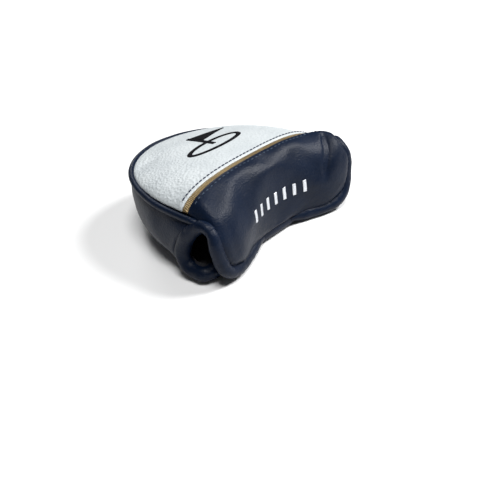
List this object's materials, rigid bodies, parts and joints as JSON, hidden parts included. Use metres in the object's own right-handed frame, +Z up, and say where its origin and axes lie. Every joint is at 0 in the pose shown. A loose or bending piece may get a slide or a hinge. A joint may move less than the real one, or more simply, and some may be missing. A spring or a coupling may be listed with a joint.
{
  "type": "putter head cover",
  "caption": "Padded leather head cover for a mallet putter, with a front flap over the face and a magnetic tongue that tucks underneath.",
  "frame": {"origin": "on the flat underside, on the left-right centre line, under the middle of the putter-head pocket", "axes": "+X along the face towards the toe, -Y is the face side with the flap, +Z is up out of the crown panel"},
  "size_m": [0.1386, 0.1312, 0.0634],
  "materials": {
    "white_leather": "pebbled, semi-matte",
    "navy_leather": "fine grain, satin",
    "gold_leather": "metallic satin, fine ribs",
    "black_plush": "short pile",
    "foam_padding": "open-cell foam",
    "stiffener_board": "matte",
    "nickel_magnet": "nickel plated",
    "navy_thread": "twisted thread",
    "blue_grey_thread": "twisted thread",
    "black_thread": "satin-stitch embroidery",
    "silver_thread": "metallic satin-stitch embroidery"
  },
  "bodies": {
    "cover": {"crown_panel": "white_leather", "accent_strip": "gold_leather", "front_panel_top": "navy_leather", "crown_piping": "navy_leather", "crown_foam": "foam_padding", "crown_lining": "black_plush", "wall_panel_left": "navy_leather", "wall_panel_right": "navy_leather", "wall_foam_left": "foam_padding", "wall_foam_right": "foam_padding", "wall_lining_left": "black_plush", "wall_lining_right": "black_plush", "underside_panel": "navy_leather", "recess_panel": "navy_leather", "underside_foam": "foam_padding", "underside_lining": "black_plush", "keeper_magnets": "nickel_magnet", "mouth_binding_left": "navy_leather", "mouth_binding_right": "navy_leather", "crown_topstitch": "navy_thread", "front_topstitch": "blue_grey_thread", "crown_emblem": "black_thread"},
    "flap": {"flap_panel": "navy_leather", "flap_foam": "foam_padding", "flap_lining": "black_plush", "flap_binding_left": "navy_leather", "flap_binding_right": "navy_leather", "flap_motif": "silver_thread"},
    "tongue": {"tongue_panel": "navy_leather", "tongue_stiffener": "stiffener_board", "tongue_facing": "black_plush", "tongue_magnets": "nickel_magnet"}
  },
  "joints": [
    {"name": "front_flap", "type": "hinge", "parent": "cover", "child": "flap", "pos_m": [0, -0.0574, 0.044], "axis": [-1, 0, 0], "range_deg": [0, 100], "stiffness_Nm_per_rad": 0.04, "springref_deg": -28.65},
    {"name": "tongue_fold", "type": "hinge", "parent": "flap", "child": "tongue", "pos_m": [0, -0.0514, 0.0056], "axis": [-1, 0, 0], "range_deg": [0, 95], "stiffness_Nm_per_rad": 0.02, "springref_deg": -22.92}
  ]
}
